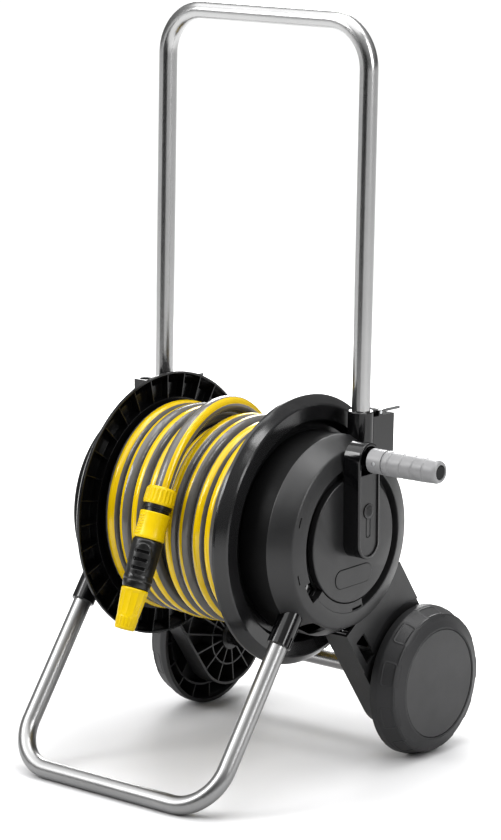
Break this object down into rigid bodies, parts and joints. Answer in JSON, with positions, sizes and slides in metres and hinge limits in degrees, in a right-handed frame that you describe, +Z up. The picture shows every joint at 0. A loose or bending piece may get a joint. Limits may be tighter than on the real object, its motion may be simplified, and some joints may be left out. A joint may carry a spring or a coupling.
{
  "type": "garden hose reel cart",
  "caption": "Two-wheeled hose reel cart with a ribbed drum, folding crank grip, sliding push handle and foot loop of steel tube, wound striped hose and nozzle",
  "frame": {"origin": "on the floor, below the middle of the outline without the hose", "axes": "+X towards the crank side, -Y towards the foot loop, +Z up"},
  "size_m": [0.4675, 0.428, 0.821],
  "materials": {
    "steel_tube": "satin bright tube",
    "steel_small": "zinc-plated",
    "frame_plastic": "fine-grained black moulding",
    "socket_plastic": "glossy black moulding",
    "wheel_plastic": "dark grey moulding",
    "drum_plastic": "black moulding",
    "grip_plastic": "light grey moulding",
    "accent_plastic": "yellow moulding",
    "seal_rubber": "black seal rings",
    "hose_rubber": "dark hose with yellow stripes"
  },
  "bodies": {
    "frame": {"side_frame_right": "frame_plastic", "side_frame_left": "frame_plastic", "handle_socket_right": "socket_plastic", "handle_socket_left": "socket_plastic", "foot_socket_right": "socket_plastic", "foot_socket_left": "socket_plastic", "foot_tube": "steel_tube", "axle_tube": "steel_tube", "axle_retaining_clips": "steel_small", "clamp_pins": "steel_small", "frame_screws": "steel_small", "hub_bush_right": "drum_plastic", "hub_bush_left": "drum_plastic", "hub_cover_left": "frame_plastic", "nozzle_holder": "frame_plastic"},
    "push_handle": {"push_handle_tube": "steel_tube", "handle_end_glides": "frame_plastic"},
    "clamp_lever_r": {"clamp_lever_right": "frame_plastic"},
    "clamp_lever_l": {"clamp_lever_left": "frame_plastic"},
    "wheel_r": {"wheel_right": "wheel_plastic", "wheel_cap_right": "wheel_plastic"},
    "wheel_l": {"wheel_left": "wheel_plastic", "wheel_cap_left": "wheel_plastic"},
    "drum": {"drum_core": "drum_plastic", "flange_right": "drum_plastic", "flange_left": "drum_plastic", "hub_shaft_right": "drum_plastic", "hub_shaft_left": "drum_plastic", "drum_screws": "steel_small", "outlet_elbow": "drum_plastic", "crank_disc": "drum_plastic", "badge_plate": "drum_plastic", "crank_arm": "drum_plastic", "crank_cover": "drum_plastic", "fold_latch_spring": "steel_small", "grip_hinge_tongue": "drum_plastic", "hose_coil": "hose_rubber", "hose_tail": "hose_rubber", "connector_nut": "accent_plastic", "connector_body": "drum_plastic", "nozzle_body": "drum_plastic"},
    "latch": {"fold_latch_button": "drum_plastic"},
    "grip_hinge": {"grip_knuckle": "drum_plastic", "grip_fold_pin": "steel_small", "grip_spindle": "steel_small"},
    "grip": {"crank_grip": "grip_plastic", "grip_end_plug": "drum_plastic"},
    "collar": {"connector_collar": "accent_plastic"},
    "tip": {"nozzle_tip": "accent_plastic"},
    "inlet": {"inlet_elbow": "accent_plastic", "inlet_seals": "seal_rubber", "inlet_spigot": "accent_plastic"}
  },
  "joints": [
    {"name": "handle_slide", "type": "slide", "parent": "frame", "child": "push_handle", "axis": [0, 0.0271, 0.9996], "range_m": [-0.14, 0]},
    {"name": "clamp_lever_right_turn", "type": "hinge", "parent": "frame", "child": "clamp_lever_r", "pos_m": [0.0925, 0.06813, 0.39424], "axis": [1, 0, 0], "range_deg": [0, 75]},
    {"name": "clamp_lever_left_turn", "type": "hinge", "parent": "frame", "child": "clamp_lever_l", "pos_m": [-0.1875, 0.06813, 0.39424], "axis": [1, 0, 0], "range_deg": [0, 75]},
    {"name": "wheel_right_spin", "type": "hinge", "parent": "frame", "child": "wheel_r", "pos_m": [0.1245, 0.1307, 0.0835], "axis": [1, 0, 0], "continuous": true},
    {"name": "wheel_left_spin", "type": "hinge", "parent": "frame", "child": "wheel_l", "pos_m": [-0.2025, 0.1307, 0.0835], "axis": [1, 0, 0], "continuous": true},
    {"name": "drum_turn", "type": "hinge", "parent": "frame", "child": "drum", "pos_m": [-0.0475, 0.0034, 0.268], "axis": [1, 0, 0], "continuous": true},
    {"name": "fold_latch_press", "type": "slide", "parent": "drum", "child": "latch", "axis": [-1, 0, 0], "range_m": [0, 0.002], "stiffness_N_per_m": 500, "deforming": ["fold_latch_spring"]},
    {"name": "grip_fold", "type": "hinge", "parent": "drum", "child": "grip_hinge", "pos_m": [0.155, 0.0034, 0.358], "axis": [0, 1, 0], "range_deg": [0, 90]},
    {"name": "grip_spin", "type": "hinge", "parent": "grip_hinge", "child": "grip", "pos_m": [0.199, 0.0034, 0.358], "axis": [1, 0, 0], "continuous": true},
    {"name": "collar_release", "type": "slide", "parent": "drum", "child": "collar", "axis": [0, 0.4051, 0.9143], "range_m": [0, 0.004], "stiffness_N_per_m": 600},
    {"name": "nozzle_tip_turn", "type": "hinge", "parent": "drum", "child": "tip", "pos_m": [-0.0425, -0.11957, 0.32249], "axis": [0, -0.4051, -0.9143], "range_deg": [0, 270]},
    {"name": "inlet_swivel", "type": "hinge", "parent": "frame", "child": "inlet", "pos_m": [-0.1975, 0.0034, 0.268], "axis": [1, 0, 0], "continuous": true}
  ]
}
